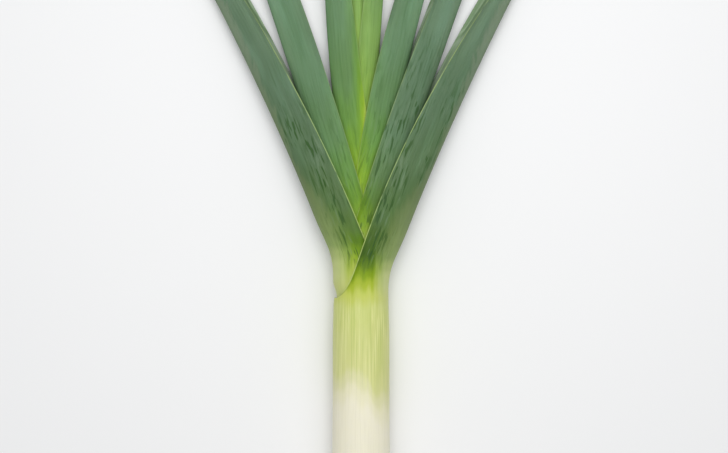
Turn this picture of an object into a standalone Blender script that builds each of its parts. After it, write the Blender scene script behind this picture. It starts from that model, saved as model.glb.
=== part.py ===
"""A leek lying on its side: eight leaves nested from the outermost to the heart leaf, the root
plate that they grow from, and its trimmed roots.

Each leaf is one piece. Its lower part is a closed tube, the sheath, and the sheaths lie inside one
another and make the white shaft. Above its mouth the tube opens on the side away from its keel and
goes on as a blade folded along the keel. Keels point right and left by turns, so the blades fan
out in one plane, each fold holding the next leaf in.

Metres, +Z up. The leek lies along Y with its leaves towards +Y and rests on Z = 0. The sections
below are worked out in a frame whose Y = 0 is the fork, where the first blades leave the shaft,
and the finished leek is then moved so that the middle of its footprint is the origin.
"""

import math
from collections import namedtuple

import bmesh
import bpy

# The shaft.
SHAFT_RADIUS = 0.0157  # of the outermost sheath's inner side, below the neck
BASE_SWELL = 0.0010  # how much thicker the shaft is above the root plate than below the neck
NECK_NARROWING = 0.035  # the share of its radius that it loses at the neck
NECK_START, NECK_END = -0.045, -0.015
SHEATH_WALL = 0.0012
SHEATH_PITCH = 0.0019  # from one sheath's inner side to the next one's
SHEATH_FOOT = -0.2360  # where the outermost sheath ends, round the root plate
FOOT_TAPER = 0.0200  # the length over which the shaft draws in to the root plate
FOOT_NARROWING = 0.20  # the share of its radius that it loses there
FOOT_GAP = 0.0004  # clearance between a sheath's foot and the root plate

# The blades.
BLADE_WALL_SHARE = 0.70  # a blade's thickness as a share of the sheath's
MOUTH_LENGTH = 0.0055  # how quickly a sheath opens above its mouth
BEND_SOFTNESS = 0.010
RELAX = 0.0018  # how much a sheath widens, away from its keel, above its mouth
RELAX_LENGTH = 0.009
RELAX_LATER = 0.002  # the leaf inside starts to spring out this far above the mouth
STAND = 0.0014  # how far a keel stands out above its bend, besides its lean
STAND_LENGTH = 0.028
OPENING_LENGTH = 0.030
FLAT_START, FLAT_END = 0.010, 0.135  # where the round sheaths turn into flat folded blades
EDGE_END = 0.155  # above this the margins swing round to run along their keels
EDGE_SETTLING = 0.012
KEEL_RADIUS = 0.0009  # of the fold, far out on the blade
FOLD_CORNER = 0.16  # the share of the half width, from the keel, where the columns crowd
SETTLE_LENGTH = 0.032  # over which an emptied fold closes and its margins sink to the surface
SETTLED_GAPE = 0.24  # the share of its gape that is left
SETTLED_HEIGHT = 0.0032  # of the middle between its margins

# How the leaves lie.
SAG = 0.0084  # how far the blades sink from the shaft's axis to their ends
SAG_START, SAG_END = -0.010, 0.220
SKEW_START, SKEW_END = 0.060, 0.200  # where a blade's sections turn square to the blade

# Rows of the surfaces. The shaft's are the same for every leaf, and a leaf has the neck's rows from
# where it comes out of the leaf round it. Those just above a mouth keep its margins on the tube.
FOOT_ROWS = (0.0, 0.004, 0.010, 0.020, 0.050, 0.120)
SHAFT_ROWS = (-0.0600, -0.0250, 0.0, 0.0210, 0.0470, 0.0660, 0.0920)
MOUTH_ROWS = (0.0005, 0.0018, 0.0040)
NECK_ROWS = (-0.0250, -0.0195, -0.0160, -0.0120, -0.0070, 0.0, 0.0070, 0.0140, 0.0210, 0.0290,
             0.0380, 0.0470, 0.0560, 0.0660, 0.0780, 0.0920, 0.1080, 0.1260, 0.1480, 0.1720)

# The root plate, a short domed stem, and the roots under it.
PLATE_RADIUS = 0.0120
PLATE_DOME = 0.0100
PLATE_SIDE = 0.0040
PLATE_CHAMFER = 0.0015
PLATE_STEPS = 28
DOME_POINTS = 8
ROOT_COUNT = 24
ROOT_RADIUS = 0.00075
ROOT_POINTS = 5
ROOT_FIELD = 0.0098  # the roots stand within this distance of the axis
ROOT_LENGTHS = (0.0075, 0.0125)
ROOT_GAP = 0.0004
GOLDEN_ANGLE = math.pi * (3.0 - math.sqrt(5.0))

# side: +1 where the keel points to +X. mouth: where the sheath opens. bend: where the keel leaves
# the shaft; lean and curl: how it goes on, as slope and change of slope. cross: where the near
# margin passes over the leek's axis; edge_lean and edge_curl: how it goes on. tip: where the blade
# is trimmed. far_more: how much wider the far half is than the near half, 0.16 m above the fork.
# flatness: 1 where the blade ends in a tight fold, less where it stays round. gape: half the gap
# between the margins at the tip. roll: how far the blade is turned about its keel there, as a
# slope. lift: how far the tip lies above the others' plane. spring: how far the keel springs out
# once the leaf round it has opened. settle: where its fold, left by the next leaf in, starts to
# close and sink. columns: in one half.
Leaf = namedtuple("Leaf", "name side mouth bend lean curl cross edge_lean edge_curl tip far_more "
                          "flatness gape roll lift spring settle columns")
LEAVES = (
    Leaf("leaf_1", +1, -0.0195, -0.005, 0.378, 0.38, 0.0090, 0.335, 1.15, 0.205, 0.0052, 1.0,
         0.0066, 0.25, -0.0010, 0.0, 0.108, 10),
    Leaf("leaf_2", -1, -0.0070, 0.004, 0.380, 0.44, 0.0215, 0.400, 0.78, 0.198, 0.0030, 1.0,
         0.0063, 0.18, -0.0008, 0.0022, 0.108, 10),
    Leaf("leaf_3", +1, 0.0070, 0.026, 0.312, 0.18, 0.0380, 0.300, 0.52, 0.222, 0.0022, 1.0,
         0.0060, 0.12, 0.0005, 0.0018, 0.126, 9),
    Leaf("leaf_4", -1, 0.0140, 0.028, 0.318, 0.04, 0.0460, 0.280, 0.37, 0.214, -0.0010, 0.9,
         0.0068, 0.02, 0.0010, 0.0020, 0.102, 8),
    Leaf("leaf_5", +1, 0.0290, 0.050, 0.220, 0.15, 0.0740, 0.165, 0.85, 0.228, -0.0010, 0.75,
         0.0068, 0.00, 0.0015, 0.0018, 0.122, 7),
    Leaf("leaf_6", -1, 0.0470, 0.050, 0.160, -0.50, 0.1160, 0.130, 0.00, 0.219, -0.0008, 0.68,
         0.0056, 0.00, 0.0015, 0.0018, 1.0, 7),
    Leaf("leaf_7", +1, 0.0780, 0.090, 0.075, 0.00, 0.1450, 0.110, 0.00, 0.212, 0.0000, 0.65,
         0.0038, 0.00, 0.0020, 0.0016, 1.0, 6),
    Leaf("leaf_8", -1, 0.1080, 0.110, 0.030, 0.00, 0.1900, 0.060, 0.00, 0.196, 0.0000, 1.0,
         0.0013, 0.00, 0.0017, 0.0018, 1.0, 5),
)
FAR_LEVEL = 0.160  # where far_more is measured
FAR_START = 0.060

GREEN = (0.13, 0.22, 0.11, 1.0)
HEART_GREEN = (0.30, 0.48, 0.07, 1.0)
CREAM = (0.80, 0.76, 0.60, 1.0)
ROOT_BUFF = (0.62, 0.52, 0.36, 1.0)


def clear_scene():
    for old in list(bpy.data.objects):
        bpy.data.objects.remove(old, do_unlink=True)


def mix(a, b, share):
    return a + (b - a) * share


def smoothstep(low, high, value):
    share = min(1.0, max(0.0, (value - low) / (high - low)))
    return share * share * (3.0 - 2.0 * share)


def ramp(distance, soft):
    """0 below the corner and the distance above it, with a rounded corner."""
    if distance <= -soft:
        return 0.0
    return distance if distance >= soft else (distance + soft) ** 2 / (4.0 * soft)


def material(name, colour, roughness):
    made = bpy.data.materials.new(name)
    made.use_nodes = True
    shader = made.node_tree.nodes["Principled BSDF"]
    shader.inputs["Base Color"].default_value = colour
    shader.inputs["Roughness"].default_value = roughness
    shader.inputs["Metallic"].default_value = 0.0
    return made


def shaft_share(y):
    """The shaft's radius at y as a share of its radius below the neck."""
    swell = BASE_SWELL / SHAFT_RADIUS * smoothstep(-0.060, -0.200, y)
    foot = 1.0 - smoothstep(SHEATH_FOOT - 0.004, SHEATH_FOOT + FOOT_TAPER, y)
    neck = smoothstep(NECK_START, NECK_END, y)
    return (1.0 + swell) * (1.0 - FOOT_NARROWING * foot) * (1.0 - NECK_NARROWING * neck)


def sheath_radius(order, y):
    return (SHAFT_RADIUS - SHEATH_PITCH * order) * shaft_share(y)


def axis_height(y):
    """The height of the leek's axis: the shaft lies on its underside, and the blades sag."""
    resting = SHAFT_RADIUS + SHEATH_WALL + BASE_SWELL * smoothstep(-0.060, -0.200, y)
    return resting - SAG * smoothstep(SAG_START, SAG_END, y)


def keel_slope(leaf, y):
    return leaf.lean + 2.0 * leaf.curl * ramp(y - leaf.bend, BEND_SOFTNESS)


def relaxed_radius(order, leaf, y):
    """The radius of a sheath's side away from the keel, which widens above its mouth."""
    return sheath_radius(order, y) + RELAX * smoothstep(leaf.mouth, leaf.mouth + RELAX_LENGTH, y)


def keel_out(order, leaf, y):
    """How far the keel stands out from the leek's axis."""
    free = ramp(y - leaf.bend, BEND_SOFTNESS)
    released = LEAVES[max(order - 1, 0)].mouth + RELAX_LATER
    radius = (sheath_radius(order, y)
              + leaf.spring * smoothstep(released, released + RELAX_LENGTH, y)
              + STAND * smoothstep(leaf.bend, leaf.bend + STAND_LENGTH, y))
    return radius + leaf.lean * free + leaf.curl * free * free


def margin_line(leaf, y):
    """Where the near margin would lie if it didn't have to meet the sheath."""
    rise = min(y, EDGE_END) - leaf.cross
    past = max(0.0, y - EDGE_END)
    slope = leaf.edge_lean + 2.0 * leaf.edge_curl * rise
    along_keel = keel_slope(leaf, EDGE_END)
    settling = EDGE_SETTLING * (1.0 - math.exp(-past / EDGE_SETTLING))
    return (leaf.edge_lean * rise + leaf.edge_curl * rise * rise
            + along_keel * past + (slope - along_keel) * settling)


def margin_out(order, leaf, y):
    """Where the near margin lies, measured from the axis towards the keel's side."""
    if y <= leaf.mouth:
        return -sheath_radius(order, y)
    closing = math.exp((leaf.mouth - y) / MOUTH_LENGTH)
    closed = -sheath_radius(order, leaf.mouth)
    return margin_line(leaf, y) + (closed - margin_line(leaf, leaf.mouth)) * closing


def leaf_row(order, leaf, y):
    """One section of a leaf, from its far margin round the keel to its near margin, with the
    blade's thickness share for each point.

    The outline on each side of the keel is a conic: half an ellipse on the sheath, which turns
    into a narrow fold on the blade."""
    out = keel_out(order, leaf, y)
    edge = margin_out(order, leaf, y)
    half_height = sheath_radius(order, y)
    half_width = 0.5 * (out + relaxed_radius(order, leaf, y))
    flat = leaf.flatness * smoothstep(FLAT_START, FLAT_END, y)
    far_share = max(0.0, y - FAR_START) / (FAR_LEVEL - FAR_START)
    skew = keel_slope(leaf, y) * smoothstep(SKEW_START, SKEW_END, y)
    edge_slope = leaf.edge_lean + 2.0 * leaf.edge_curl * (min(y, EDGE_END) - leaf.cross)

    if y <= leaf.mouth:
        skew = 0.0
    width = (out - edge) / (1.0 + skew * edge_slope)
    past_middle = min(1.0, (out - edge) / half_width - 1.0)
    opening = half_height * math.sqrt(max(0.0, 1.0 - past_middle * past_middle))
    opened = smoothstep(leaf.mouth, leaf.mouth + OPENING_LENGTH, y)
    opening = mix(opening, leaf.gape, opened * smoothstep(FLAT_START, FLAT_END, y))
    settled = smoothstep(leaf.settle, leaf.settle + SETTLE_LENGTH, y)
    opening *= mix(1.0, SETTLED_GAPE, settled)
    nose = mix(half_height ** 2 / half_width, KEEL_RADIUS, flat)
    bend = (opening ** 2 - 2.0 * nose * width) / width ** 2
    middle = axis_height(y) + leaf.lift * smoothstep(0.090, leaf.tip, y)
    widest = width + max(0.0, leaf.far_more * far_share)
    roll = mix(leaf.roll * smoothstep(0.070, leaf.tip, y), (SETTLED_HEIGHT - middle) / widest,
               settled)
    round_share = smoothstep(leaf.cross, leaf.mouth, y)
    corner = math.hypot(1.0, FOLD_CORNER) - FOLD_CORNER

    row = []
    for column in range(-leaf.columns, leaf.columns + 1):
        share = abs(column) / leaf.columns
        sheath_step = (1.0 - math.cos(math.pi * share)) / 2.0
        blade_step = (math.hypot(share, FOLD_CORNER) - FOLD_CORNER) / corner
        reach = width * mix(blade_step, sheath_step, round_share)
        if column < 0:
            reach *= 1.0 + leaf.far_more * far_share / width
        height = math.sqrt(max(0.0, 2.0 * nose * reach + bend * reach * reach))
        row.append((leaf.side * (out - reach), y + skew * reach,
                    middle + math.copysign(height, column) + roll * reach))
    return row, mix(1.0, BLADE_WALL_SHARE, smoothstep(leaf.mouth, leaf.cross + 0.03, y))


def leaf_foot(order):
    """Where a sheath ends: the outermost round the root plate, the others on its dome."""
    if order == 0:
        return SHEATH_FOOT
    dome_foot = SHEATH_FOOT + PLATE_SIDE
    inside = sheath_radius(order, dome_foot) / PLATE_RADIUS
    rise = PLATE_DOME * math.sqrt(max(0.0, 1.0 - inside * inside))
    return dome_foot + rise + FOOT_GAP


def leaf_levels(order, leaf):
    """The rows of a leaf, from its foot to its trimmed end."""
    foot = leaf_foot(order)
    from_row = LEAVES[max(order - 1, 0)].mouth - 0.006
    hidden = [y for y in SHAFT_ROWS if y < from_row]
    free = [y for y in NECK_ROWS if from_row <= y < leaf.tip - 0.010]
    free += [leaf.mouth + step for step in MOUTH_ROWS]
    return [foot + step for step in FOOT_ROWS] + hidden + sorted(free) + [leaf.tip]


def add_leaf(order, leaf, finish, collection):
    """A leaf as an open surface, its inner side, given its thickness by a Solidify modifier."""
    shell = bmesh.new()
    rows, shares = [], []
    for y in leaf_levels(order, leaf):
        points, share = leaf_row(order, leaf, y)
        closed = y <= leaf.mouth + 1e-9
        verts = [shell.verts.new(point) for point in (points[:-1] if closed else points)]
        shares += [share] * len(verts)
        rows.append(verts + [verts[0]] if closed else verts)
    for lower, upper in zip(rows, rows[1:]):
        for i in range(len(lower) - 1):
            ring = [lower[i], lower[i + 1], upper[i + 1], upper[i]]
            shell.faces.new(ring if leaf.side > 0 else ring[::-1])
    mesh = bpy.data.meshes.new(leaf.name)
    shell.to_mesh(mesh)
    shell.free()
    mesh.shade_smooth()
    mesh.materials.append(finish)
    made = bpy.data.objects.new(leaf.name, mesh)
    collection.objects.link(made)

    thickness = made.vertex_groups.new(name="thickness")
    for index, share in enumerate(shares):
        thickness.add([index], share, "REPLACE")
    wall = made.modifiers.new("wall", "SOLIDIFY")
    wall.thickness = SHEATH_WALL
    wall.offset = -1.0
    wall.vertex_group = thickness.name
    return made


def add_root_plate(finish, collection):
    """The short stem: a chamfered disc with a dome that the sheaths stand on."""
    side_top = PLATE_SIDE
    outline = [(0.0, side_top + PLATE_DOME)]
    for step in range(1, DOME_POINTS + 1):
        angle = 0.5 * math.pi * step / DOME_POINTS
        outline.append((PLATE_RADIUS * math.sin(angle), side_top + PLATE_DOME * math.cos(angle)))
    outline.append((PLATE_RADIUS, PLATE_CHAMFER))
    outline.append((PLATE_RADIUS - PLATE_CHAMFER, 0.0))
    outline.append((0.0, 0.0))
    mesh = bpy.data.meshes.new("root_plate")
    mesh.from_pydata([(r, 0.0, height) for r, height in outline],
                     [(i, i + 1) for i in range(len(outline) - 1)], [])
    mesh.materials.append(finish)
    plate = bpy.data.objects.new("root_plate", mesh)
    collection.objects.link(plate)
    plate.location = (0.0, SHEATH_FOOT, axis_height(SHEATH_FOOT))
    plate.rotation_euler = (-0.5 * math.pi, 0.0, 0.0)
    turn = plate.modifiers.new("turn", "SCREW")
    turn.steps = turn.render_steps = PLATE_STEPS
    turn.use_merge_vertices = True
    turn.merge_threshold = 0.00001
    return plate


def add_root(index, finish, collection):
    """One trimmed root: a tapered wiry stub that leaves the plate's underside and curves out."""
    share = (index + 0.5) / ROOT_COUNT
    turn = index * GOLDEN_ANGLE
    stand = ROOT_FIELD * math.sqrt(share)
    wave = math.sin(2.399 * index + 1.0)
    length = mix(ROOT_LENGTHS[0], ROOT_LENGTHS[1], 0.5 + 0.5 * math.sin(5.1 * index))
    curve = bpy.data.curves.new(f"root_{index + 1:02d}", "CURVE")
    curve.dimensions = "3D"
    curve.bevel_depth = ROOT_RADIUS
    curve.bevel_resolution = 1
    curve.use_fill_caps = True
    curve.materials.append(finish)
    spline = curve.splines.new("POLY")
    spline.points.add(ROOT_POINTS - 1)
    for step, point in enumerate(spline.points):
        along = step / (ROOT_POINTS - 1)
        out = stand + 0.0042 * share * along ** 1.6
        angle = turn + 0.10 * wave * along ** 2
        point.co = (out * math.cos(angle), -ROOT_GAP - length * along, out * math.sin(angle), 1.0)
        point.radius = mix(1.0, 0.62, along)
    root = bpy.data.objects.new(curve.name, curve)
    collection.objects.link(root)
    root.location = (0.0, SHEATH_FOOT, axis_height(SHEATH_FOOT))
    return root


def centre_on_footprint(parts):
    """Moves the leek so that the middle of its footprint is the origin, on Z = 0."""
    bpy.context.view_layer.update()
    graph = bpy.context.evaluated_depsgraph_get()
    corners = []
    for part in parts:
        shown = part.evaluated_get(graph)
        mesh = shown.to_mesh()
        corners += [shown.matrix_world @ vertex.co for vertex in mesh.vertices]
        shown.to_mesh_clear()
    for axis in range(3):
        low = min(corner[axis] for corner in corners)
        high = max(corner[axis] for corner in corners)
        offset = low if axis == 2 else 0.5 * (low + high)
        for part in parts:
            part.location[axis] -= offset


def build():
    clear_scene()
    leek = bpy.data.collections.new("leek")
    bpy.context.scene.collection.children.link(leek)
    blade = material("leaf_green", GREEN, 0.55)
    heart = material("heart_green", HEART_GREEN, 0.50)
    plate = material("plate_cream", CREAM, 0.60)
    wiry = material("root_buff", ROOT_BUFF, 0.80)

    parts = [add_root_plate(plate, leek)]
    for order, leaf in enumerate(LEAVES):
        parts.append(add_leaf(order, leaf, heart if order >= 6 else blade, leek))
    for index in range(ROOT_COUNT):
        parts.append(add_root(index, wiry, leek))
    centre_on_footprint(parts)


build()
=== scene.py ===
"""The looks of the leek: fine leaves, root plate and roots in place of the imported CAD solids, with
procedural materials, on a pale floor under soft overhead light, seen from straight above.

Metres. A leaf is worked out in a frame whose Y = 0 is the fork, where the first blades leave the
shaft. The root plate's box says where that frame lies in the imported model.
"""

import math
from collections import namedtuple

import bpy
import numpy as np
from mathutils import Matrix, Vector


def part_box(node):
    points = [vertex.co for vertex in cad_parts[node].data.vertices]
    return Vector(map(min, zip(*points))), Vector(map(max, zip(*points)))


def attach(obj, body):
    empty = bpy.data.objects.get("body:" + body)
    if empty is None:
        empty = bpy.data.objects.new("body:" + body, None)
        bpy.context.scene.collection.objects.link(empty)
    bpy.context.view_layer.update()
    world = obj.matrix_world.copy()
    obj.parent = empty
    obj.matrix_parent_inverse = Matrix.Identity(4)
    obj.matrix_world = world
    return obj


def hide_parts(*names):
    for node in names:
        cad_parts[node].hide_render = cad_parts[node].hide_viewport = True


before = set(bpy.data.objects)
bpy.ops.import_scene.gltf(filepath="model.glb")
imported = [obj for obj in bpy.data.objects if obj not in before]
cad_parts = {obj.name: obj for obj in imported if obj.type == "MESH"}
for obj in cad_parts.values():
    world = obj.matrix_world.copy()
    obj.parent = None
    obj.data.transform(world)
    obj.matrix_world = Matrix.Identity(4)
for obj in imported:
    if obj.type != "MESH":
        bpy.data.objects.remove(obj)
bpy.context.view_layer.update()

# The shaft, as in the CAD source. Lengths along the leek count from the fork.
SHAFT_RADIUS = 0.0157  # of the outermost sheath's inner side, below the neck
BASE_SWELL = 0.0010  # how much thicker the shaft is above the root plate than below the neck
SWELL_START, SWELL_END = -0.060, -0.200
NECK_NARROWING = 0.035  # the share of its radius that it loses at the neck
NECK_START, NECK_END = -0.045, -0.015
SHEATH_WALL = 0.0012
SHEATH_PITCH = 0.0019  # from one sheath's inner side to the next one's
SHEATH_FOOT = -0.2360  # where the outermost sheath ends, round the root plate
FOOT_TAPER = 0.0200  # the length over which the shaft draws in to the root plate
FOOT_TAPER_END = SHEATH_FOOT - 0.004
FOOT_NARROWING = 0.20  # the share of its radius that it loses there
FOOT_GAP = 0.0004  # clearance between a sheath's foot and the root plate

# The blades, as in the CAD source.
BLADE_WALL_SHARE = 0.70  # a blade's thickness as a share of the sheath's
WALL_THINNING = 0.030  # it has that thickness this far above where its near margin crosses
MOUTH_LENGTH = 0.0055  # how quickly a sheath opens above its mouth
BEND_SOFTNESS = 0.010
RELAX = 0.0018  # how much a sheath widens, away from its keel, above its mouth
RELAX_LENGTH = 0.009
RELAX_LATER = 0.002  # the leaf inside starts to spring out this far above the mouth
STAND = 0.0014  # how far a keel stands out above its bend, besides its lean
STAND_LENGTH = 0.028
OPENING_LENGTH = 0.030
FLAT_START, FLAT_END = 0.010, 0.135  # where the round sheaths turn into flat folded blades
EDGE_END = 0.155  # above this the margins swing round to run along their keels
EDGE_SETTLING = 0.012
KEEL_RADIUS = 0.0009  # of the fold, far out on the blade
FOLD_CORNER = 0.16  # the share of the half width, from the keel, where the columns crowd
SETTLE_LENGTH = 0.032  # over which an emptied fold closes and its margins sink to the surface
SETTLED_GAPE = 0.24  # the share of its gape that is left
SETTLED_HEIGHT = 0.0032  # of the middle between its margins
SAG = 0.0084  # how far the blades sink from the shaft's axis to their ends
SAG_START, SAG_END = -0.010, 0.220
SKEW_START, SKEW_END = 0.060, 0.200  # where a blade's sections turn square to the blade
FAR_LEVEL = 0.160  # where far_more is measured
FAR_START = 0.060
LIFT_START = 0.090
ROLL_START = 0.070

# The root plate and the roots, as in the CAD source.
PLATE_RADIUS = 0.0120
PLATE_DOME = 0.0100
PLATE_SIDE = 0.0040
ROOT_COUNT = 24
ROOT_FIELD = 0.0098  # the roots stand within this distance of the axis
ROOT_LENGTHS = (0.0075, 0.0125)
ROOT_GAP = 0.0004
GOLDEN_ANGLE = math.pi * (3.0 - math.sqrt(5.0))

# side: +1 where the keel points to +X. mouth: where the sheath opens. bend: where the keel leaves
# the shaft; lean and curl: how it goes on, as slope and change of slope. cross: where the near
# margin passes over the leek's axis; edge_lean and edge_curl: how it goes on. tip: where the blade
# is trimmed. far_more: how much wider the far half is than the near half, at FAR_LEVEL. flatness: 1
# where the blade ends in a tight fold, less where it stays round. gape: half the gap between the
# margins at the tip. roll: how far the blade is turned about its keel there, as a slope. lift: how
# far the tip lies above the others' plane. spring: how far the keel springs out once the leaf
# round it has opened. settle: where its emptied fold starts to close and sink.
Leaf = namedtuple("Leaf", "name side mouth bend lean curl cross edge_lean edge_curl tip far_more "
                          "flatness gape roll lift spring settle")
LEAVES = (
    Leaf("leaf_1", +1, -0.0195, -0.005, 0.378, 0.38, 0.0090, 0.335, 1.15, 0.205, 0.0052, 1.0,
         0.0066, 0.25, -0.0010, 0.0, 0.108),
    Leaf("leaf_2", -1, -0.0070, 0.004, 0.380, 0.44, 0.0215, 0.400, 0.78, 0.198, 0.0030, 1.0,
         0.0063, 0.18, -0.0008, 0.0022, 0.108),
    Leaf("leaf_3", +1, 0.0070, 0.026, 0.312, 0.18, 0.0380, 0.300, 0.52, 0.222, 0.0022, 1.0,
         0.0060, 0.12, 0.0005, 0.0018, 0.126),
    Leaf("leaf_4", -1, 0.0140, 0.028, 0.318, 0.04, 0.0460, 0.280, 0.37, 0.214, -0.0010, 0.9,
         0.0068, 0.02, 0.0010, 0.0020, 0.102),
    Leaf("leaf_5", +1, 0.0290, 0.050, 0.220, 0.15, 0.0740, 0.165, 0.85, 0.228, -0.0010, 0.75,
         0.0068, 0.00, 0.0015, 0.0018, 0.122),
    Leaf("leaf_6", -1, 0.0470, 0.050, 0.160, -0.50, 0.1160, 0.130, 0.00, 0.219, -0.0008, 0.68,
         0.0056, 0.00, 0.0015, 0.0018, 1.0),
    Leaf("leaf_7", +1, 0.0780, 0.090, 0.075, 0.00, 0.1450, 0.110, 0.00, 0.212, 0.0000, 0.65,
         0.0038, 0.00, 0.0020, 0.0016, 1.0),
    Leaf("leaf_8", -1, 0.1080, 0.110, 0.030, 0.00, 0.1900, 0.060, 0.00, 0.196, 0.0000, 1.0,
         0.0013, 0.00, 0.0017, 0.0018, 1.0),
)

# The fine leaves.
COLUMNS = 44  # in one half of a leaf
HIDDEN_STEP = 0.0120  # between rows inside another sheath
SEEN_BELOW_MOUTH = 0.008  # a leaf has closer rows from this far below the mouth of the one round it
SHAFT_STEP = 0.0050
BLADE_STEP = 0.0024
BLADE_ROWS_START = -0.030
ROW_GAP = 0.0008  # the least that is left below the rows at a mouth
FOOT_STEPS = (0.0, 0.0006, 0.0016, 0.0032, 0.0055, 0.0085)
MOUTH_STEPS = (-0.0010, 0.0, 0.0003, 0.0008, 0.0015, 0.0026, 0.0040)
FOOT_CLOSING = 0.0060  # the outermost sheath draws in to the plate over this length
FOOT_CLOSED = 0.6  # how far outside the plate's rim it ends, as a share of its wall
MARGIN_THIN = 0.30  # a blade's thickness at its margin, as a share of that at the keel
MARGIN_TAPER = 0.0035
RIB_HEIGHT = 0.00004
RIBS_IN_HALF = 10
SHAFT_RIBS = 0.35  # their height on the sheath, as a share of that on the blade
RIBS_RISE = 0.020  # they grow to their full height over this length above the mouth
RIPPLE = 0.00030  # of the blades, along and across
RIPPLE_START, RIPPLE_END = 0.015, 0.110
RAGGED = 0.0007  # how uneven the trimmed ends are
LIP_RISE = 0.0006  # how far a sheath's margin curls out at its mouth
LIP_LENGTH = 0.0045
LIP_WIDTH = 0.07  # the share of a half leaf, at its margin, that curls
CLOSED_RIM = 0.05  # what the rim attribute says on a closed sheath
SHARP_ANGLE = 50.0  # degrees

# The fine root plate and the fine roots.
PLATE_RINGS = (0.15, 0.30, 0.45, 0.60, 0.75, 0.86)  # of its underside, as shares of its radius
PLATE_EDGE = 0.0014  # the radius of its rounded edge
PLATE_EDGE_STEPS = 4
DOME_STEPS = 8
PLATE_TURNS = 72
UNDERSIDE = 0.0010  # what is lower than this has lumps
UNDERSIDE_RISE = 0.0004
LUMP = 0.00028
PLATE_CLEARANCE = 0.0001
ROOT_STEPS = 14
ROOT_RADIUS = 0.00058
ROOT_SPREAD = 0.0042  # how far the outermost roots lean out, at their ends
ROOT_WAVE = 0.00042
ROOT_BURIED = 0.0006  # how far a root starts inside the plate
ROOT_BLUNT = 0.07  # the last share of its length, where it narrows
HAIRS = 3  # finer roots beside each root
HAIR_RADIUS = 0.00026
HAIR_FIELD = 0.0104
HAIR_SPREAD = 0.0052

# The view: straight down, with the leaves away from the viewer.
VIEW_WIDTH = 0.4339
VIEW_CENTRE = (-0.0010, 0.0319)
VIEW_LEVEL = 0.0170  # the height at which the view is that wide
CAMERA_HEIGHT = 3.0
SENSOR = 36.0

# The light.
SKY = 0.38
SEEN_SKY = 0.74  # as bright as the floor far away
SUN_ENERGY = 1.27
SUN_SPREAD = 82.0  # degrees
SUN_TILT = 2.0  # degrees from overhead, towards +X
LAMP_ENERGY = 1.50
LAMP_SIZE = 0.35
LAMP_PLACE = (0.02, 0.22, 0.62)
FLOOR_ALBEDO = (0.845, 0.850, 0.856)
FLOOR_REACH = 12.0

# How colours are written: as the surface looks under this light, in sRGB from 0 to 255.
LIGHT_LEVEL = 1.085  # how bright a white surface looks
SHEEN_LIFT = 0.022  # what the gloss adds to every channel
DARKEST = 0.004  # reflectance


def mix(a, b, share):
    return a + (b - a) * share


def smoothstep(low, high, value):
    share = np.clip((value - low) / (high - low), 0.0, 1.0)
    return share * share * (3.0 - 2.0 * share)


def ramp(distance, soft):
    """0 below the corner and the distance above it, with a rounded corner."""
    if distance <= -soft:
        return 0.0
    return distance if distance >= soft else (distance + soft) ** 2 / (4.0 * soft)


def shaft_share(y):
    """The shaft's radius at y as a share of its radius below the neck."""
    swell = BASE_SWELL / SHAFT_RADIUS * smoothstep(SWELL_START, SWELL_END, y)
    foot = 1.0 - smoothstep(FOOT_TAPER_END, SHEATH_FOOT + FOOT_TAPER, y)
    neck = smoothstep(NECK_START, NECK_END, y)
    return (1.0 + swell) * (1.0 - FOOT_NARROWING * foot) * (1.0 - NECK_NARROWING * neck)


def sheath_radius(order, y):
    """The radius of a closed sheath's inner side."""
    radius = (SHAFT_RADIUS - SHEATH_PITCH * order) * shaft_share(y)
    if order == 0:
        closed = PLATE_RADIUS + FOOT_CLOSED * SHEATH_WALL
        radius = mix(radius, closed, smoothstep(SHEATH_FOOT + FOOT_CLOSING, SHEATH_FOOT, y))
    return radius


def axis_height(y):
    """The height of the leek's axis: the shaft lies on its underside, and the blades sag."""
    resting = SHAFT_RADIUS + SHEATH_WALL + BASE_SWELL * smoothstep(SWELL_START, SWELL_END, y)
    return resting - SAG * smoothstep(SAG_START, SAG_END, y)


def leek_offset():
    """Where the fork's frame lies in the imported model."""
    low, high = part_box("root_plate")
    return np.array([0.5 * (low.x + high.x), low.y - SHEATH_FOOT,
                     0.5 * (low.z + high.z) - axis_height(SHEATH_FOOT)])


OFFSET = leek_offset()


def keel_slope(leaf, y):
    return leaf.lean + 2.0 * leaf.curl * ramp(y - leaf.bend, BEND_SOFTNESS)


def relaxed_radius(order, leaf, y):
    """The radius of a sheath's side away from the keel, which widens above its mouth."""
    return sheath_radius(order, y) + RELAX * smoothstep(leaf.mouth, leaf.mouth + RELAX_LENGTH, y)


def keel_out(order, leaf, y):
    """How far the keel stands out from the leek's axis."""
    free = ramp(y - leaf.bend, BEND_SOFTNESS)
    released = LEAVES[max(order - 1, 0)].mouth + RELAX_LATER
    radius = (sheath_radius(order, y)
              + leaf.spring * smoothstep(released, released + RELAX_LENGTH, y)
              + STAND * smoothstep(leaf.bend, leaf.bend + STAND_LENGTH, y))
    return radius + leaf.lean * free + leaf.curl * free * free


def margin_line(leaf, y):
    """Where the near margin would lie if it didn't have to meet the sheath."""
    rise = min(y, EDGE_END) - leaf.cross
    past = max(0.0, y - EDGE_END)
    slope = leaf.edge_lean + 2.0 * leaf.edge_curl * rise
    along_keel = keel_slope(leaf, EDGE_END)
    settling = EDGE_SETTLING * (1.0 - math.exp(-past / EDGE_SETTLING))
    return (leaf.edge_lean * rise + leaf.edge_curl * rise * rise
            + along_keel * past + (slope - along_keel) * settling)


def margin_out(order, leaf, y):
    """Where the near margin lies, measured from the axis towards the keel's side."""
    if y <= leaf.mouth:
        return -sheath_radius(order, y)
    closing = math.exp((leaf.mouth - y) / MOUTH_LENGTH)
    closed = -sheath_radius(order, leaf.mouth)
    return margin_line(leaf, y) + (closed - margin_line(leaf, leaf.mouth)) * closing


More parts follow.
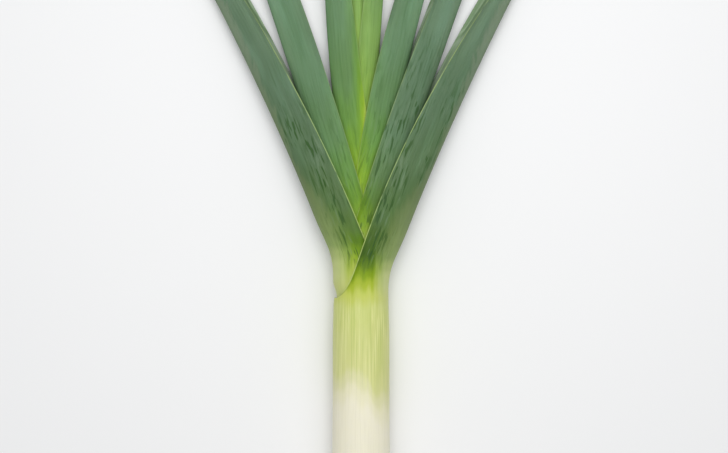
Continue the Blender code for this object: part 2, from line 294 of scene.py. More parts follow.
def leaf_row(order, leaf, y, shares):
    """One section of a leaf's inner side, from its far margin (share -1) round the keel (0) to
    its near margin (1): on each side of the keel a conic, as in the CAD source."""
    out = keel_out(order, leaf, y)
    edge = margin_out(order, leaf, y)
    half_height = sheath_radius(order, y)
    half_width = 0.5 * (out + relaxed_radius(order, leaf, y))
    flat = leaf.flatness * smoothstep(FLAT_START, FLAT_END, y)
    far_share = max(0.0, y - FAR_START) / (FAR_LEVEL - FAR_START)
    skew = keel_slope(leaf, y) * smoothstep(SKEW_START, SKEW_END, y) if y > leaf.mouth else 0.0
    edge_slope = leaf.edge_lean + 2.0 * leaf.edge_curl * (min(y, EDGE_END) - leaf.cross)

    width = (out - edge) / (1.0 + skew * edge_slope)
    past_middle = min(1.0, (out - edge) / half_width - 1.0)
    opening = half_height * math.sqrt(max(0.0, 1.0 - past_middle * past_middle))
    opened = smoothstep(leaf.mouth, leaf.mouth + OPENING_LENGTH, y)
    opening = mix(opening, leaf.gape, opened * smoothstep(FLAT_START, FLAT_END, y))
    settled = smoothstep(leaf.settle, leaf.settle + SETTLE_LENGTH, y)
    opening *= mix(1.0, SETTLED_GAPE, settled)
    nose = mix(half_height ** 2 / half_width, KEEL_RADIUS, flat)
    bend = (opening ** 2 - 2.0 * nose * width) / width ** 2
    middle = axis_height(y) + leaf.lift * smoothstep(LIFT_START, leaf.tip, y)
    widest = width + max(0.0, leaf.far_more * far_share)
    roll = mix(leaf.roll * smoothstep(ROLL_START, leaf.tip, y),
               (SETTLED_HEIGHT - middle) / widest, settled)
    round_share = smoothstep(leaf.cross, leaf.mouth, y)
    corner = math.hypot(1.0, FOLD_CORNER) - FOLD_CORNER

    share = np.abs(shares)
    sheath_step = (1.0 - np.cos(math.pi * share)) / 2.0
    blade_step = (np.hypot(share, FOLD_CORNER) - FOLD_CORNER) / corner
    reach = width * mix(blade_step, sheath_step, round_share)
    reach = np.where(shares < 0, reach * (1.0 + leaf.far_more * far_share / width), reach)
    height = np.sqrt(np.maximum(0.0, 2.0 * nose * reach + bend * reach * reach))
    return np.stack([leaf.side * (out - reach), y + skew * reach,
                     middle + np.copysign(height, shares) + roll * reach], axis=1)


def leaf_foot(order):
    """Where a sheath ends: the outermost round the root plate, the others on its dome."""
    if order == 0:
        return SHEATH_FOOT
    dome_foot = SHEATH_FOOT + PLATE_SIDE
    inside = sheath_radius(order, dome_foot) / PLATE_RADIUS
    return dome_foot + PLATE_DOME * math.sqrt(max(0.0, 1.0 - inside * inside)) + FOOT_GAP


def leaf_levels(order, leaf):
    """The rows of a fine leaf, close together wherever it can be seen to bend."""
    foot = leaf_foot(order)
    seen_from = LEAVES[order - 1].mouth - SEEN_BELOW_MOUTH if order else foot
    levels = [foot + step for step in FOOT_STEPS]
    while levels[-1] < leaf.mouth + MOUTH_STEPS[0]:
        if levels[-1] > BLADE_ROWS_START:
            step = BLADE_STEP
        else:
            step = SHAFT_STEP if order == 0 else HIDDEN_STEP
        levels.append(levels[-1] + (step if levels[-1] >= seen_from else HIDDEN_STEP))
    while levels[-1] > leaf.mouth + MOUTH_STEPS[0] - ROW_GAP:
        levels.pop()
    levels += [leaf.mouth + step for step in MOUTH_STEPS]
    blade = leaf.tip - levels[-1]
    count = math.ceil(blade / BLADE_STEP)
    return levels + [levels[-1] + blade * (i + 1) / count for i in range(count)]


def ripple(x, y):
    """The blades' slow unevenness, the same for every leaf, so that nested folds stay nested."""
    waves = (np.sin(x * 190.0 + y * 61.0 + 1.3) + 0.7 * np.sin(x * 83.0 - y * 128.0 + 0.4)
             + 0.5 * np.sin(y * 211.0 + x * 37.0))
    return RIPPLE * waves * smoothstep(RIPPLE_START, RIPPLE_END, y)


def surface_normals(points, side):
    """Unit normals of a grid of points, pointing out of the leaf."""
    along = np.gradient(points, axis=0)
    across = np.gradient(points, axis=1)
    normals = np.cross(across, along) * side
    return normals / np.maximum(np.linalg.norm(normals, axis=2, keepdims=True), 1e-12)


def leaf_points(order, leaf, levels, shares):
    """The grid of a fine leaf: its sections with veins, a curled lip, ripples and a ragged end."""
    points = np.array([leaf_row(order, leaf, y, shares) for y in levels])
    ribs = np.cos(2.0 * math.pi * RIBS_IN_HALF * shares)[None, :]
    above_mouth = np.array(levels)[:, None] - leaf.mouth
    free = smoothstep(0.0, RIBS_RISE, above_mouth)
    rise = RIB_HEIGHT * ribs * mix(SHAFT_RIBS, 1.0, free)
    from_lip = np.abs(above_mouth - 0.3 * LIP_LENGTH) / LIP_LENGTH
    at_margin = smoothstep(1.0 - LIP_WIDTH, 1.0, np.abs(shares))[None, :]
    rise = rise + LIP_RISE * at_margin * smoothstep(1.0, 0.0, from_lip)
    points = points + surface_normals(points, leaf.side) * rise[:, :, None]
    points[:, :, 2] += ripple(points[:, :, 0], points[:, :, 1])
    uneven = np.sin(shares * 9.0 + order * 2.1) + 0.6 * np.sin(shares * 23.0 + order)
    points[-1, :, 1] -= RAGGED * (0.8 + 0.5 * uneven)
    return points + OFFSET


def leaf_mesh(order, leaf):
    """The leaf's inner side as a mesh, with what the materials read: a UV map of the distance
    across from the keel and along from the fork, and the distances from margin and keel."""
    shares = np.linspace(-1.0, 1.0, 2 * COLUMNS + 1)
    levels = leaf_levels(order, leaf)
    points = leaf_points(order, leaf, levels, shares)
    rows, columns = len(levels), len(shares)

    steps = np.linalg.norm(np.diff(points, axis=1), axis=2)
    travelled = np.concatenate([np.zeros((rows, 1)), np.cumsum(steps, axis=1)], axis=1)
    across = travelled - travelled[:, COLUMNS:COLUMNS + 1]
    from_margin = np.minimum(travelled, travelled[:, -1:] - travelled)
    closed = np.array(levels) <= leaf.mouth + 1e-9
    from_margin[closed] = CLOSED_RIM

    corners, index, grid = [], 0, np.empty((rows, columns), int)
    for row in range(rows):
        kept = columns - 1 if closed[row] else columns
        grid[row, :kept] = np.arange(index, index + kept)
        if closed[row]:
            grid[row, -1] = grid[row, 0]
        corners.append(points[row, :kept])
        index += kept
    quads = np.stack([grid[:-1, :-1], grid[:-1, 1:], grid[1:, 1:], grid[1:, :-1]], axis=-1)
    places = np.stack(np.broadcast_arrays(across, np.array(levels)[:, None]), axis=-1)
    uv = np.stack([places[:-1, :-1], places[:-1, 1:], places[1:, 1:], places[1:, :-1]], axis=2)
    if leaf.side < 0:
        quads, uv = quads[..., ::-1], uv[..., ::-1, :]

    mesh = bpy.data.meshes.new(leaf.name)
    mesh.from_pydata(np.concatenate(corners).tolist(), [], quads.reshape(-1, 4).tolist())
    layer = mesh.uv_layers.new(name="veins")
    layer.uv.foreach_set("vector", np.ascontiguousarray(uv, np.float32).ravel())
    facts = {"rim": from_margin, "keel": np.abs(across)}
    for name, values in facts.items():
        kept = np.concatenate([values[row, :columns - 1 if closed[row] else columns]
                               for row in range(rows)])
        mesh.attributes.new(name, "FLOAT", "POINT").data.foreach_set(
            "value", np.ascontiguousarray(kept, np.float32))
    thickness = []
    for row, y in enumerate(levels):
        share = mix(1.0, BLADE_WALL_SHARE, smoothstep(leaf.mouth, leaf.cross + WALL_THINNING, y))
        thin = mix(MARGIN_THIN, 1.0, smoothstep(0.0, MARGIN_TAPER, from_margin[row]))
        thickness.append((share * thin)[:columns - 1 if closed[row] else columns])
    return mesh, np.concatenate(thickness)


def thickened(mesh, thickness, materials):
    """The mesh with a wall outside it, as a piece of its own. The materials are those of its inner
    side, its outer side and its rim."""
    for finish in materials:
        mesh.materials.append(finish)
    shell = bpy.data.objects.new(mesh.name, mesh)
    bpy.context.scene.collection.objects.link(shell)
    group = shell.vertex_groups.new(name="thickness")
    for index, share in enumerate(thickness.tolist()):
        group.add([index], share, "REPLACE")
    wall = shell.modifiers.new("wall", "SOLIDIFY")
    wall.thickness = SHEATH_WALL
    wall.offset = -1.0
    wall.vertex_group = group.name
    wall.material_offset = 1
    wall.material_offset_rim = 2
    graph = bpy.context.evaluated_depsgraph_get()
    finished = bpy.data.meshes.new_from_object(shell.evaluated_get(graph))
    shell.modifiers.clear()
    shell.vertex_groups.clear()
    shell.data = finished
    bpy.data.meshes.remove(mesh)
    finished.shade_smooth()
    finished.set_sharp_from_angle(angle=math.radians(SHARP_ANGLE))
    return shell


# ---------------------------------------------------------------- materials

def linear(colour):
    """What a surface must reflect to look like an sRGB colour under this scene's light."""
    reflected = []
    for channel in colour:
        c = channel / 255.0
        seen = c / 12.92 if c <= 0.04045 else ((c + 0.055) / 1.055) ** 2.4
        reflected.append(max(DARKEST, (seen - SHEEN_LIFT) / LIGHT_LEVEL))
    return (*reflected, 1.0)


class Shader:
    """A material being wired up. Its methods return sockets, and take sockets or plain values."""

    def __init__(self, name, roughness, gloss=0.5):
        self.material = bpy.data.materials.new(name)
        self.material.use_nodes = True
        self.tree = self.material.node_tree
        self.surface = self.tree.nodes["Principled BSDF"]
        self.surface.inputs["Roughness"].default_value = roughness
        self.surface.inputs["Specular IOR Level"].default_value = gloss

    def node(self, kind, inputs=(), **settings):
        made = self.tree.nodes.new(kind)
        for name, value in settings.items():
            setattr(made, name, value)
        for key, value in dict(inputs).items():
            if isinstance(value, bpy.types.NodeSocket):
                self.tree.links.new(value, made.inputs[key])
            else:
                made.inputs[key].default_value = value
        return made

    def math(self, operation, *values):
        return self.node("ShaderNodeMath", enumerate(values), operation=operation).outputs[0]

    def rise(self, value, low, high, to=1.0):
        """0 where value is below low, to where it is above high, and smooth between."""
        made = self.node("ShaderNodeMapRange", {0: value, 1: low, 2: high, 3: 0.0, 4: to},
                         interpolation_type="SMOOTHSTEP")
        return made.outputs[0]

    def mix(self, share, a, b, blend="MIX"):
        made = self.node("ShaderNodeMix", {0: share, 6: a, 7: b}, data_type="RGBA",
                         blend_type=blend)
        return made.outputs[2]

    def stretched(self, vector, pitch, place=(0.0, 0.0, 0.0)):
        """The coordinates in units of pitch, one length for each axis."""
        made = self.node("ShaderNodeMapping", {"Vector": vector, "Location": place,
                                               "Scale": [1.0 / p for p in pitch]})
        return made.outputs[0]

    def noise(self, vector, detail, rough=0.5):
        made = self.node("ShaderNodeTexNoise", {"Vector": vector, "Scale": 1.0,
                                                "Detail": detail, "Roughness": rough})
        return made.outputs[0]

    def attribute(self, name):
        return self.node("ShaderNodeAttribute", attribute_name=name).outputs["Fac"]

    def split(self, vector):
        return self.node("ShaderNodeSeparateXYZ", {0: vector}).outputs

    def object_place(self):
        return self.node("ShaderNodeTexCoord").outputs["Object"]

    def vein_place(self):
        return self.node("ShaderNodeUVMap", uv_map="veins").outputs[0]

    def colours(self, value, stops):
        """A colour ramp over (value, sRGB colour) stops, in rising order."""
        low, high = stops[0][0], stops[-1][0]
        share = self.node("ShaderNodeMapRange", {0: value, 1: low, 2: high}).outputs[0]
        made = self.node("ShaderNodeValToRGB", {0: share})
        made.color_ramp.interpolation = "EASE"
        elements = made.color_ramp.elements
        while len(elements) < len(stops):
            elements.new(0.5)
        for element, (at, _) in zip(elements, stops):
            element.position = (at - low) / (high - low)
        for element, (_, colour) in zip(elements, stops):
            element.color = linear(colour)
        return made.outputs[0]

    def bump(self, height, depth, strength):
        made = self.node("ShaderNodeBump", {"Height": height, "Distance": depth,
                                            "Strength": strength})
        self.tree.links.new(made.outputs[0], self.surface.inputs["Normal"])

    def finish(self, colour, roughness=None):
        self.tree.links.new(colour, self.surface.inputs["Base Color"])
        if roughness is not None:
            self.tree.links.new(roughness, self.surface.inputs["Roughness"])
        return self.material


# How one leaf is coloured. age: -1 for the outermost, old leaf to 2 for the heart leaf. turn: where
# its base has become lime green, along the leek. stretch: how slowly it goes on to its final green.
# near_lag: how much later it turns beside its near margin. rubbed: how strongly its bloom is
# streaked, up to rubbed_to. tinge: how grey-brown it is at the keel. margin: how clearly its
# margin shows as a pale line.
Look = namedtuple("Look", "age turn stretch near_lag rubbed rubbed_to tinge margin")
LOOKS = {
    "leaf_1": Look(-1.0, 0.000, 1.0, 0.000, 1.00, 0.125, 0.90, 0.90),
    "leaf_2": Look(-0.2, 0.0075, 1.0, 0.000, 0.90, 0.120, 0.85, 0.90),
    "leaf_3": Look(0.35, 0.022, 1.0, 0.006, 0.80, 0.150, 0.20, 0.35),
    "leaf_4": Look(0.90, 0.028, 1.5, 0.006, 0.35, 0.120, 0.15, 0.25),
    "leaf_5": Look(1.00, 0.046, 1.6, 0.010, 0.35, 0.150, 0.05, 0.25),
    "leaf_6": Look(1.10, 0.060, 1.6, 0.045, 0.15, 0.130, 0.00, 0.20),
    "leaf_7": Look(2.00, 0.070, 1.0, 0.010, 0.10, 0.150, 0.00, 0.20),
    "leaf_8": Look(2.00, 0.100, 1.0, 0.000, 0.00, 0.100, 0.00, 0.20),
}

SHAFT_STOPS = ((-0.240, (235, 227, 200)), (-0.228, (245, 239, 219)), (-0.150, (250, 245, 222)),
               (-0.086, (250, 245, 218)), (-0.076, (244, 240, 204)), (-0.068, (231, 230, 180)),
               (-0.060, (219, 222, 152)), (-0.045, (215, 220, 146)), (-0.024, (211, 219, 138)))

# Above the shaft: the distance from the turn, and the colour there at the ages -1, 0, 1 and 2.
TURN_STOPS = (
    (-0.016, (200, 210, 106), (192, 204, 110), (200, 214, 120), (205, 218, 118)),
    (-0.010, (172, 190, 66), (176, 193, 88), (178, 205, 86), (186, 210, 90)),
    (-0.004, (134, 162, 36), (148, 175, 58), (146, 182, 60), (160, 195, 66)),
    (0.002, (100, 130, 30), (123, 157, 44), (134, 172, 60), (152, 190, 66)),
    (0.009, (77, 106, 32), (98, 131, 46), (116, 156, 66), (146, 184, 68)),
    (0.018, (83, 110, 54), (95, 123, 66), (108, 148, 80), (146, 182, 78)),
    (0.032, (91, 118, 74), (96, 121, 80), (105, 139, 93), (142, 178, 85)),
    (0.060, (97, 122, 88), (98, 122, 93), (108, 140, 106), (132, 167, 92)),
    (0.100, (98, 123, 96), (99, 123, 98), (112, 144, 114), (120, 154, 98)),
    (0.150, (101, 125, 101), (101, 125, 101), (116, 148, 118), (114, 148, 100)),
    (0.230, (102, 127, 104), (102, 127, 104), (119, 152, 121), (112, 146, 102)),
)
AGES = (-1.0, 0.0, 1.0, 2.0)


def leaf_stops(look):
    """The colours along a leaf's outer side, from its foot to its end."""
    stops = list(SHAFT_STOPS)
    for at, *ages in TURN_STOPS:
        shown = tuple(float(np.interp(look.age, AGES, channel)) for channel in zip(*ages))
        place = look.turn + at * (look.stretch if at > 0.0 else 1.0)
        stops.append((max(place, stops[-1][0] + 0.001), shown))
    return stops


def outer_face(leaf, look, seed):
    """The side of a leaf that faces out: cream and pale green sheath, waxy blue-green blade.
    The noises' pitches are lengths, most of them long along the veins and short across them."""
    shader = Shader(leaf.name + "_outer", 0.5, 0.20)
    veins = shader.vein_place()
    _, along, _ = shader.split(veins)
    place = shader.object_place()
    x, _, _ = shader.split(place)
    rim = shader.attribute("rim")
    keel = shader.attribute("keel")
    on_blade = shader.rise(along, -0.030, 0.012)

    # Where the colours change is streaky along the veins and lower in some places than others.
    on_shaft = shader.rise(along, -0.030, -0.055)
    lobes = shader.noise(shader.stretched(place, (0.010, 0.050, 0.010), (seed, 0, 0)), 1.0)
    strands = shader.noise(shader.stretched(place, (0.0022, 0.040, 0.0022), (0, seed, 0)), 2.0)
    shift = shader.math("MULTIPLY_ADD", shader.math("SUBTRACT", lobes, 0.5), 0.018, along)
    shift = shader.math("MULTIPLY_ADD", shader.math("SUBTRACT", strands, 0.5), 0.008, shift)
    lower = shader.math("MULTIPLY", shader.rise(x, 0.000, 0.008, 0.012), on_shaft)
    shift = shader.math("ADD", shift, lower)
    near = shader.rise(rim, 0.008, 0.0, look.near_lag)
    colour = shader.colours(shader.math("SUBTRACT", shift, near), leaf_stops(look))

    # The sheath's veins: fine pale and green lines.
    lines = shader.noise(shader.stretched(place, (0.0009, 0.045, 0.0009), (seed, seed, 0)), 3.0)
    on_green = shader.math("MULTIPLY", shader.rise(along, -0.085, -0.055),
                           shader.rise(along, -0.014, -0.034))
    pale = shader.math("MULTIPLY", shader.rise(lines, 0.52, 0.66), on_green)
    colour = shader.mix(shader.math("MULTIPLY", pale, 0.65), colour, linear((236, 239, 172)))
    green = shader.math("MULTIPLY", shader.rise(lines, 0.48, 0.36), on_green)
    colour = shader.mix(shader.math("MULTIPLY", green, 0.50), colour,
                        shader.mix(1.0, colour, (0.76, 0.85, 0.62, 1.0), "MULTIPLY"))

    # On the white part the same lines are faint.
    on_white = shader.math("MULTIPLY", shader.rise(along, -0.055, -0.085),
                           shader.rise(lines, 0.50, 0.38, 0.16))
    colour = shader.mix(on_white, colour, linear((228, 222, 192)))

    # The blade's bloom is uneven and streaked along the veins.
    cloud = shader.noise(shader.stretched(veins, (0.006, 0.045, 1.0), (seed, 0, 0)), 2.0)
    paler = shader.math("MULTIPLY", shader.rise(cloud, 0.45, 0.70), on_blade)
    colour = shader.mix(shader.math("MULTIPLY", paler, 0.40), colour,
                        shader.mix(1.0, colour, linear((236, 240, 250)), "SOFT_LIGHT"))
    fibre = shader.noise(shader.stretched(veins, (0.0014, 0.030, 1.0), (0, seed, 0)), 3.0)
    darker = shader.math("MULTIPLY", shader.rise(fibre, 0.50, 0.32), on_blade)
    colour = shader.mix(shader.math("MULTIPLY", darker, 0.40), colour,
                        shader.mix(1.0, colour, (0.66, 0.76, 0.62, 1.0), "MULTIPLY"))

    # The keel's grey-brown tinge is broad above the neck and narrows up the blade.
    reach = shader.math("ADD", shader.rise(along, 0.064, 0.022, 0.0160), 0.0055)
    reach = shader.math("SUBTRACT", reach, shader.rise(along, 0.014, -0.004, 0.0040))
    inside = shader.math("DIVIDE", shader.math("ADD", keel, shader.math(
        "MULTIPLY", shader.math("SUBTRACT", strands, 0.5), 0.008)), reach)
    tinge = shader.math("MULTIPLY", shader.rise(inside, 1.12, 0.45, look.tinge),
                        shader.rise(along, look.turn - 0.030, look.turn - 0.012))
    above_turn = shader.math("SUBTRACT", along, look.turn)
    tinged = shader.colours(above_turn, ((-0.022, (209, 215, 152)), (-0.006, (202, 212, 148)),
                                         (0.000, (182, 196, 130)), (0.006, (153, 173, 112)),
                                         (0.014, (142, 161, 106)), (0.030, (126, 144, 98)),
                                         (0.046, (115, 133, 94)), (0.062, (116, 134, 100)),
                                         (0.122, (119, 135, 113))))
    colour = shader.mix(tinge, colour, tinged)

    # In patches low on the blade the bloom is rubbed off in dark dashes, with paler ones between.
    patches = shader.noise(shader.stretched(veins, (0.010, 0.030, 1.0), (seed, 5, 0)), 1.0)
    window = shader.math("MULTIPLY", shader.rise(along, -0.006, 0.012),
                         shader.rise(along, look.rubbed_to, look.rubbed_to - 0.050))
    window = shader.math("MULTIPLY", window, shader.rise(patches, 0.38, 0.56, look.rubbed))
    window = shader.math("MULTIPLY", window, shader.math("SUBTRACT", 1.0, tinge))
    dashes = shader.noise(shader.stretched(veins, (0.0015, 0.011, 1.0), (seed, 9, 0)), 1.0)
    dark = shader.math("MULTIPLY", shader.rise(dashes, 0.54, 0.61), window)
    colour = shader.mix(shader.math("MULTIPLY", dark, 0.90), colour, linear((58, 90, 46)))
    light = shader.math("MULTIPLY", shader.rise(dashes, 0.43, 0.35), window)
    colour = shader.mix(shader.math("MULTIPLY", light, 0.40), colour, linear((128, 150, 122)))

    # Painted light: where the fold has closed, the blade is painted paler towards its margins, to
    # offset the shade where it tilts down to them.
    settled = shader.math("MULTIPLY", shader.rise(along, leaf.settle, leaf.settle + 0.030),
                          shader.rise(rim, 0.012, 0.002, 0.35))
    colour = shader.mix(settled, colour, linear((142, 168, 138)))

    # The margin's pale line comes and goes, and near the mouth a darker line of painted shade runs
    # beside it, standing for the shadow in the crevice along the margin.
    breaks = shader.noise(shader.stretched(veins, (0.5, 0.012, 1.0), (seed, 2, 0)), 2.0)
    edge = shader.math("MULTIPLY", shader.rise(rim, 0.00075, 0.00020, look.margin),
                       shader.rise(breaks, 0.30, 0.50))
    beside = shader.math("MULTIPLY", shader.rise(rim, 0.0024, 0.0010, 0.55 * look.margin),
                         shader.rise(along, leaf.mouth + 0.050, leaf.mouth + 0.004))
    colour = shader.mix(beside, colour,
                        shader.mix(1.0, colour, (0.52, 0.62, 0.40, 1.0), "MULTIPLY"))
    colour = shader.mix(edge, colour, shader.colours(along, (
        (leaf.mouth, (212, 226, 140)), (leaf.mouth + 0.030, (190, 212, 122)),
        (leaf.mouth + 0.060, (170, 196, 124)))))

    # Fine veins, and a bloom that is matt on the blade and glossier where it is rubbed off.
    ribs = shader.noise(shader.stretched(veins, (0.0007, 0.200, 1.0), (seed, 0, 0)), 1.0)
    shaft_ribs = shader.noise(shader.stretched(place, (0.0009, 0.200, 0.0009)), 1.0)
    height = shader.math("ADD", shader.math("MULTIPLY", ribs, on_blade),
                         shader.math("MULTIPLY", shaft_ribs, 0.5))
    shader.bump(height, 0.00016, 0.8)
    roughness = shader.math("MULTIPLY_ADD", on_blade, 0.20, 0.40)
    roughness = shader.math("SUBTRACT", roughness, shader.math("MULTIPLY", dark, 0.12))
    shader.surface.inputs["Subsurface Weight"].default_value = 0.30
    shader.surface.inputs["Subsurface Radius"].default_value = (1.0, 1.0, 0.6)
    shader.surface.inputs["Subsurface Scale"].default_value = 0.004
    return shader.finish(colour, roughness)


def inner_face(leaf, look, seed):
    """The side of a leaf that faces the next leaf in: smoother, glossier and yellower."""
    shader = Shader(leaf.name + "_inner", 0.42, 0.45)
    veins = shader.vein_place()
    _, along, _ = shader.split(veins)
    streaks = shader.noise(shader.stretched(veins, (0.0016, 0.050, 1.0), (seed, 3, 0)), 3.0)
    shift = shader.math("MULTIPLY_ADD", shader.math("SUBTRACT", streaks, 0.5), 0.030, along)
    colour = shader.colours(shift, (
        (-0.240, (236, 230, 206)), (look.turn - 0.070, (236, 234, 205)),
        (look.turn - 0.020, (205, 216, 140)), (look.turn + 0.012, (128, 160, 78)),
        (look.turn + 0.050, (110, 140, 92)), (look.turn + 0.110, (124, 150, 114)),
        (0.300, (126, 152, 120))))
    pale = shader.rise(streaks, 0.50, 0.72, 0.30)
    colour = shader.mix(pale, colour, linear((132, 158, 112)))
    ribs = shader.noise(shader.stretched(veins, (0.0008, 0.200, 1.0), (seed, 0, 0)), 1.0)
    shader.bump(ribs, 0.00014, 0.8)
    return shader.finish(colour)


def cut_face(leaf, look, seed):
    """A leaf's margin and its trimmed end: pale, a little dry at the tip."""
    shader = Shader(leaf.name + "_rim", 0.55, 0.35)
    veins = shader.vein_place()
    _, along, _ = shader.split(veins)
    grain = shader.noise(shader.stretched(veins, (0.0006, 0.004, 1.0), (seed, 0, 0)), 3.0)
    side = linear(tuple(mix(c, d, look.margin) for c, d in zip((96, 126, 80), (146, 174, 112))))
    colour = shader.colours(along, (
        (-0.240, (226, 214, 178)), (-0.100, (232, 228, 196)), (leaf.mouth + 0.004, (226, 228, 178)),
        (leaf.mouth + 0.010, (196, 210, 140))))
    colour = shader.mix(shader.rise(along, leaf.mouth + 0.006, leaf.mouth + 0.030), colour, side)
    colour = shader.mix(shader.rise(along, leaf.tip - 0.003, leaf.tip - 0.001), colour,
                        linear((170, 190, 134)))
    dry = shader.math("MULTIPLY", shader.rise(grain, 0.45, 0.65, 0.6),
                      shader.rise(along, leaf.tip - 0.003, leaf.tip))
    colour = shader.mix(dry, colour, linear((190, 176, 128)))
    shader.bump(grain, 0.0002, 0.6)
    return shader.finish(colour)


def plate_material():
    """The root plate: a pale, rough stem end with old scars and traces of soil."""
    shader = Shader("plate_cream", 0.75, 0.30)
    place = shader.object_place()
    broad = shader.noise(shader.stretched(place, (0.006, 0.006, 0.006)), 3.0)
    fine = shader.noise(shader.stretched(place, (0.0011, 0.0016, 0.0011)), 4.0, 0.6)
    colour = shader.colours(broad, ((0.30, (196, 176, 132)), (0.50, (222, 208, 170)),
                                    (0.70, (232, 222, 190))))
    colour = shader.mix(shader.rise(fine, 0.52, 0.72, 0.60), colour, linear((138, 110, 72)))
    shader.bump(fine, 0.0006, 0.8)
    return shader.finish(colour)


def root_material():
    """The roots: buff, finely wrinkled, browner at the cut ends, with soil in the hollows."""
    shader = Shader("root_buff", 0.80, 0.25)
    place = shader.object_place()
    _, y, _ = shader.split(place)
    start = SHEATH_FOOT + OFFSET[1]
    fine = shader.noise(shader.stretched(place, (0.0010, 0.0022, 0.0010)), 4.0, 0.6)
    wrinkles = shader.noise(shader.stretched(place, (0.0030, 0.0005, 0.0030)), 2.0)
    colour = shader.colours(y, ((start - 0.0130, (176, 150, 106)), (start - 0.0100, (200, 178, 134)),
                                (start - 0.0040, (220, 204, 164)), (start, (228, 214, 180))))
    colour = shader.mix(shader.rise(fine, 0.50, 0.70, 0.55), colour, linear((150, 122, 82)))
    colour = shader.mix(shader.rise(wrinkles, 0.50, 0.66, 0.30), colour, linear((168, 142, 100)))
    shader.bump(wrinkles, 0.0003, 0.9)
    return shader.finish(colour)


def floor_material():
    shader = Shader("pale_floor", 0.85, 0.10)
    grain = shader.noise(shader.stretched(shader.object_place(), (0.05, 0.05, 0.05)), 1.0)
    low = tuple(c * 0.997 for c in FLOOR_ALBEDO) + (1.0,)
    return shader.finish(shader.mix(grain, low, (*FLOOR_ALBEDO, 1.0)))


# ---------------------------------------------------------------- pieces

def add_leaf(order, leaf):
    """One fine leaf in place of its CAD solid."""
    look, seed = LOOKS[leaf.name], 3.7 * order
    mesh, thickness = leaf_mesh(order, leaf)
    made = thickened(mesh, thickness, (inner_face(leaf, look, seed), outer_face(leaf, look, seed),
                                       cut_face(leaf, look, seed)))
    made.name = "fine_" + leaf.name
    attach(made, "root")
    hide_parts(leaf.name)


def add_root_plate(finish):
    """The stem's underside: a lumpy disc with a rounded edge, and the dome that carries the
    sheaths."""
    outline = [(PLATE_RADIUS * share, 0.0) for share in PLATE_RINGS]
    for step in range(PLATE_EDGE_STEPS + 1):
        angle = 0.5 * math.pi * step / PLATE_EDGE_STEPS
        outline.append((PLATE_RADIUS - PLATE_EDGE * (1 - math.sin(angle)),
                        PLATE_EDGE * (1 - math.cos(angle))))
    for step in range(DOME_STEPS):
        angle = 0.5 * math.pi * step / DOME_STEPS
        outline.append((PLATE_RADIUS * math.cos(angle), PLATE_SIDE + PLATE_DOME * math.sin(angle)))
    turns, rings = PLATE_TURNS, len(outline)
    corners, faces = [], []
    for radius, height in outline:
        for turn in range(turns):
            angle = 2.0 * math.pi * turn / turns
            lump = LUMP * (math.sin(5 * angle + 300 * radius) + math.sin(11 * angle - 700 * radius)
                           + math.sin(900 * radius + 2 * angle))
            low = height < UNDERSIDE
            spread = radius if low else radius - PLATE_CLEARANCE
            corners.append((spread * math.cos(angle),
                            height + (lump + UNDERSIDE_RISE if low else 0.0),
                            spread * math.sin(angle)))
    corners += [(0.0, 0.0003, 0.0), (0.0, PLATE_SIDE + PLATE_DOME, 0.0)]
    under, top = len(corners) - 2, len(corners) - 1
    for ring in range(rings - 1):
        for turn in range(turns):
            a, b = ring * turns + turn, ring * turns + (turn + 1) % turns
            faces.append((a, b, b + turns, a + turns))
    last = (rings - 1) * turns
    for turn in range(turns):
        after = (turn + 1) % turns
        faces.append((under, after, turn))
        faces.append((top, last + turn, last + after))
    mesh = bpy.data.meshes.new("fine_root_plate")
    mesh.from_pydata(corners, [], faces)
    mesh.shade_smooth()
    mesh.materials.append(finish)
    plate = bpy.data.objects.new("fine_root_plate", mesh)
    bpy.context.scene.collection.objects.link(plate)
    plate.location = (OFFSET[0], SHEATH_FOOT + OFFSET[1], axis_height(SHEATH_FOOT) + OFFSET[2])
    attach(plate, "root")
    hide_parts("root_plate")


def root_spline(curve, stand, turn, length, spread, radius, seed):
    """One root from the plate's underside: tapered, slightly wavy, blunt where it is trimmed."""
    spline = curve.splines.new("POLY")
    spline.points.add(ROOT_STEPS - 1)
    for step, point in enumerate(spline.points):
        along = step / (ROOT_STEPS - 1)
        out = stand + spread * along ** 1.6
        angle = turn + 0.10 * math.sin(2.399 * seed + 1.0) * along ** 2
        wave = ROOT_WAVE * along * math.sin(7.0 * along + 1.9 * seed)
        drift = ROOT_WAVE * along * math.sin(5.3 * along + 3.1 * seed)
        point.co = (out * math.cos(angle) + wave,
                    ROOT_BURIED - (length + ROOT_BURIED) * along,
                    out * math.sin(angle) + drift, 1.0)
        point.radius = radius * (1.25 - 0.55 * along + 0.10 * math.sin(9.0 * along + seed)
                                 - 0.30 * max(0.0, along - (1.0 - ROOT_BLUNT)) / ROOT_BLUNT)


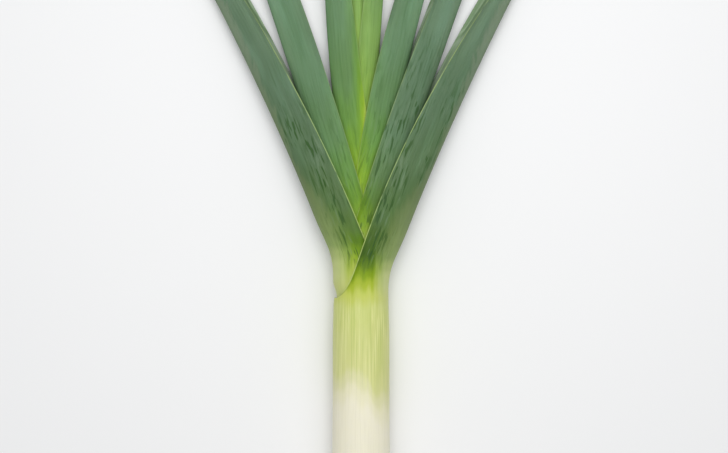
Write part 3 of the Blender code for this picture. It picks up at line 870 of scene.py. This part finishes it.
def add_root(index, finish):
    """One CAD root and, beside it, finer ones that grow from the same part of the plate."""
    share = (index + 0.5) / ROOT_COUNT
    turn = index * GOLDEN_ANGLE
    length = mix(ROOT_LENGTHS[0], ROOT_LENGTHS[1], 0.5 + 0.5 * math.sin(5.1 * index))
    name = f"root_{index + 1:02d}"
    curve = bpy.data.curves.new("fine_" + name, "CURVE")
    curve.dimensions = "3D"
    curve.bevel_depth = 1.0
    curve.bevel_resolution = 3
    curve.use_fill_caps = True
    curve.materials.append(finish)
    root_spline(curve, ROOT_FIELD * math.sqrt(share), turn, ROOT_GAP + length,
                ROOT_SPREAD * share, ROOT_RADIUS, index)
    for hair in range(HAIRS):
        seed = index * HAIRS + hair
        place = (seed + 0.3) / (HAIRS * ROOT_COUNT)
        root_spline(curve, HAIR_FIELD * math.sqrt(place), turn + 2.1 * hair + 0.7,
                    length * (0.55 + 0.40 * math.sin(1.7 * seed) ** 2), HAIR_SPREAD * place,
                    HAIR_RADIUS, seed + 0.5)
    root = bpy.data.objects.new("fine_" + name, curve)
    bpy.context.scene.collection.objects.link(root)
    root.location = (OFFSET[0], SHEATH_FOOT + OFFSET[1], axis_height(SHEATH_FOOT) + OFFSET[2])
    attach(root, "root")
    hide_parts(name)


def add_floor():
    mesh = bpy.data.meshes.new("pale_floor")
    sides = ((-1, -1), (1, -1), (1, 1), (-1, 1))
    mesh.from_pydata([(FLOOR_REACH * x, FLOOR_REACH * y, 0.0) for x, y in sides], [],
                     [(0, 1, 2, 3)])
    mesh.materials.append(floor_material())
    floor = bpy.data.objects.new("pale_floor", mesh)
    bpy.context.scene.collection.objects.link(floor)


def add_lights():
    """A broad overhead light, a weaker closer one that fades towards the corners, and the sky."""
    scene = bpy.context.scene
    sun = bpy.data.lights.new("soft_sun", "SUN")
    sun.energy = SUN_ENERGY
    sun.angle = math.radians(SUN_SPREAD)
    above = bpy.data.objects.new("soft_sun", sun)
    above.rotation_euler = (0.0, math.radians(SUN_TILT), 0.0)
    scene.collection.objects.link(above)
    lamp = bpy.data.lights.new("near_lamp", "AREA")
    lamp.shape = "DISK"
    lamp.size = LAMP_SIZE
    lamp.energy = LAMP_ENERGY
    near = bpy.data.objects.new("near_lamp", lamp)
    near.location = LAMP_PLACE
    near.visible_camera = False
    scene.collection.objects.link(near)

    world = bpy.data.worlds.new("pale_sky")
    world.use_nodes = True
    tree = world.node_tree
    sky = tree.nodes["Background"]
    sky.inputs["Color"].default_value = (1.0, 1.0, 1.0, 1.0)
    level = tree.nodes.new("ShaderNodeMix")
    level.inputs[2].default_value, level.inputs[3].default_value = SKY, SEEN_SKY
    tree.links.new(tree.nodes.new("ShaderNodeLightPath").outputs["Is Camera Ray"], level.inputs[0])
    tree.links.new(level.outputs[0], sky.inputs["Strength"])
    scene.world = world


def add_camera():
    """The camera, far enough away that the view is nearly parallel."""
    scene = bpy.context.scene
    camera = bpy.data.cameras.new("camera")
    camera.sensor_width = SENSOR
    camera.lens = SENSOR * (CAMERA_HEIGHT - VIEW_LEVEL) / VIEW_WIDTH
    camera.clip_end = 100.0
    made = bpy.data.objects.new("camera", camera)
    made.location = (*VIEW_CENTRE, CAMERA_HEIGHT)
    scene.collection.objects.link(made)
    scene.camera = made
    scene.view_settings.view_transform = "Standard"


add_camera()
add_floor()
add_lights()
for order, leaf in enumerate(LEAVES):
    add_leaf(order, leaf)
add_root_plate(plate_material())
roots = root_material()
for index in range(ROOT_COUNT):
    add_root(index, roots)
